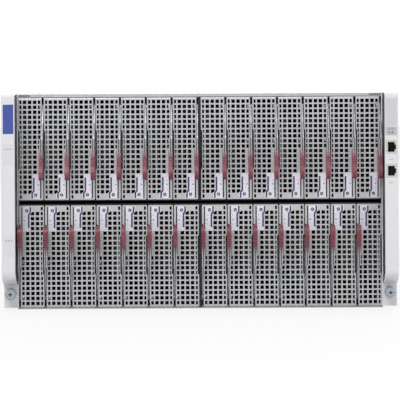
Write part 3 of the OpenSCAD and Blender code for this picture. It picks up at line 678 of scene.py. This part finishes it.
# Fasteners and lamps of the rear modules, pins of the mains inlets
rear = facing((0, REAR, 0), (-1, 0, 0), (0, 0, 1), (0, 1, 0))
fittings = Piece("rear_fittings")
for low, high in power_boxes:
    if high[1] - low[1] < 1.3 and high[0] - low[0] > 45:
        for a, b in ((4, 4), (4, -4), (-4, -4)):
            at = (-(low[0] + a if a > 0 else high[0] + a), low[2] + b if b > 0 else high[2] + b)
            fittings.screw(at, 1.9, rear, turn=0.3 * a + b)
        fittings.turned((-(low[0] + 72), low[2] + 5.5), [(1.5, 0.0), (1.5, 0.5), (1.1, 0.9), (0.4, 1.0)],
                        "lamp_green", rear)
    if high[0] - low[0] < 28 and high[0] - low[0] > 25.5 and high[2] - low[2] < 23:
        mid = ((low[0] + high[0]) / 2, (low[2] + high[2]) / 2)
        for dx, dz in ((0, 3.4), (-6.5, -2.6), (6.5, -2.6)):
            pin = rounded(-(mid[0] + dx) - 1.0, mid[1] + dz - 2.0, -(mid[0] + dx) + 1.0, mid[1] + dz + 2.0, 0.3, 2)
            fittings.plate(pin, -15.9, -3.2, "wire", rear, 0.4)
for low, high in switch_boxes:
    if high[1] - low[1] < 1.3 and high[0] - low[0] > 45:
        for a, b in ((3.5, 3.5), (3.5, -3.5), (-3.5, 3.5), (-3.5, -3.5)):
            at = (-(low[0] + a if a > 0 else high[0] + a), low[2] + b if b > 0 else high[2] + b)
            fittings.screw(at, 1.5, rear, turn=0.2 * a + b)
        count = 8 if high[0] - low[0] > 100 else 2
        for k in range(count):
            fittings.turned((-(low[0] + 14 + k * 4.2), high[2] - 6.0),
                            [(0.9, 0.0), (0.9, 0.35), (0.6, 0.6), (0.2, 0.66)],
                            "lamp_green" if k % 3 else "lamp_off", rear, 14)
fittings.done("chassis", "module_metal")

# Screws of the top cover and rivets of the side sheets
sky = facing((0, 0, TOP), (1, 0, 0), (0, 1, 0), (0, 0, 1))
heads = Piece("cover_screws")
for y in (-395, -270, -120, 30, 180, 300, 418):
    for x in (-214, 0, 214):
        heads.turned((x, y), [(2.9, -0.25), (2.9, 0.05), (2.3, 0.25), (1.2, 0.3)], "screw", sky, 20)
        # the crosses are deep grey bars on the heads: painted shade
        for angle in (0.4 + y, 0.4 + y + math.pi / 2):
            c, s = math.cos(angle), math.sin(angle)
            bar = [(x + a * c - b * s, y + a * s + b * c) for a, b in rounded(-1.4, -0.3, 1.4, 0.3, 0.25, 2)]
            heads.plate(bar, 0.1, 0.34, "recess", sky, 0.01)
heads.done("chassis", "enclosure_steel")
rivets = Piece("side_rivets")
for side in (-1, 1):
    wall = facing((side * SIDE, 0, 0), (0, 1, 0), (0, 0, 1), (side, 0, 0))
    for y in range(-390, 430, 91):
        for z in (8, 130.8, 254):
            rivets.turned((y, z), [(2.4, -0.2), (2.4, 0.15), (2.0, 0.5), (1.1, 0.72), (0.4, 0.78)], "cover", wall, 18)
rivets.done("chassis", "enclosure_steel")


# ---------- floor, light and camera ----------


def floor():
    mat = bpy.data.materials.new("studio_floor")
    n = Nodes(mat)
    n.join(n.spread(n.noise(2.0), 0.55, 0.7), n.shader.inputs["Roughness"])
    n.shader.inputs["Base Color"].default_value = (0.86, 0.86, 0.86, 1)
    n.shader.inputs["Specular IOR Level"].default_value = 0.1
    glow = n.add("ShaderNodeEmission", Strength=1.0)
    path = n.add("ShaderNodeLightPath")
    share = n.add("ShaderNodeMath", operation="MULTIPLY")
    share.inputs[1].default_value = 0.8
    n.join(path.outputs["Is Camera Ray"], share.inputs[0])
    mix = n.add("ShaderNodeMixShader")
    n.join(share.outputs[0], mix.inputs[0])
    n.join(n.shader.outputs[0], mix.inputs[1])
    n.join(glow.outputs[0], mix.inputs[2])
    n.join(mix.outputs[0], n.tree.nodes["Material Output"].inputs["Surface"])
    mesh = bpy.data.meshes.new("studio_floor")
    r = 14.0
    mesh.from_pydata([(-r, -r, 0), (r, -r, 0), (r, r, 0), (-r, r, 0)], [], [(0, 1, 2, 3)])
    mesh.materials.append(mat)
    obj = bpy.data.objects.new("studio_floor", mesh)
    bpy.context.scene.collection.objects.link(obj)


def world(fill):
    w = bpy.data.worlds.new("studio")
    bpy.context.scene.world = w
    w.use_nodes = True
    tree = w.node_tree
    tree.nodes.clear()
    out = tree.nodes.new("ShaderNodeOutputWorld")
    soft, white = tree.nodes.new("ShaderNodeBackground"), tree.nodes.new("ShaderNodeBackground")
    soft.inputs["Color"].default_value = (1, 1, 1, 1)
    soft.inputs["Strength"].default_value = fill
    white.inputs["Color"].default_value = (1, 1, 1, 1)
    white.inputs["Strength"].default_value = 1.0
    path = tree.nodes.new("ShaderNodeLightPath")
    seen = tree.nodes.new("ShaderNodeMath")
    seen.operation = "MAXIMUM"
    tree.links.new(path.outputs["Is Camera Ray"], seen.inputs[0])
    tree.links.new(path.outputs["Is Glossy Ray"], seen.inputs[1])
    mix = tree.nodes.new("ShaderNodeMixShader")
    tree.links.new(seen.outputs[0], mix.inputs[0])
    tree.links.new(soft.outputs[0], mix.inputs[1])
    tree.links.new(white.outputs[0], mix.inputs[2])
    tree.links.new(mix.outputs[0], out.inputs["Surface"])


def lamp(name, at, aim, size, power):
    data = bpy.data.lights.new(name, "AREA")
    data.shape = "RECTANGLE"
    data.size, data.size_y = size
    data.energy = power
    obj = bpy.data.objects.new(name, data)
    bpy.context.scene.collection.objects.link(obj)
    obj.location = at
    obj.rotation_euler = (Vector(aim) - Vector(at)).to_track_quat("-Z", "Y").to_euler()


floor()
world(0.34)
lamp("key", (-0.9, -3.0, 2.6), (0, -0.3, 0.15), (2.2, 1.6), 60)
lamp("right_fill", (2.6, -2.2, 1.5), (0, -0.2, 0.15), (1.6, 1.6), 18)
lamp("top_soft", (0, 0.4, 3.4), (0, 0, 0), (2.6, 2.6), 42)
lamp("back_soft", (0.6, 3.2, 2.2), (0, 0.3, 0.15), (2.0, 1.6), 36)

DISTANCE = 3.3
EYE = 0.2746
AIM = 0.1332
VIEW_W = 0.4916
camera = bpy.data.cameras.new("view")
camera.sensor_width = 36
camera.lens = 36 * DISTANCE / VIEW_W
camera.shift_y = (AIM - EYE) / VIEW_W
camera.clip_end = 60
eye = bpy.data.objects.new("view", camera)
bpy.context.scene.collection.objects.link(eye)
eye.location = (0.0008, FACE * MM - DISTANCE, EYE)
eye.rotation_euler = (math.radians(90), math.radians(0.32), 0)
bpy.context.scene.camera = eye
bpy.context.scene.view_settings.view_transform = "Standard"
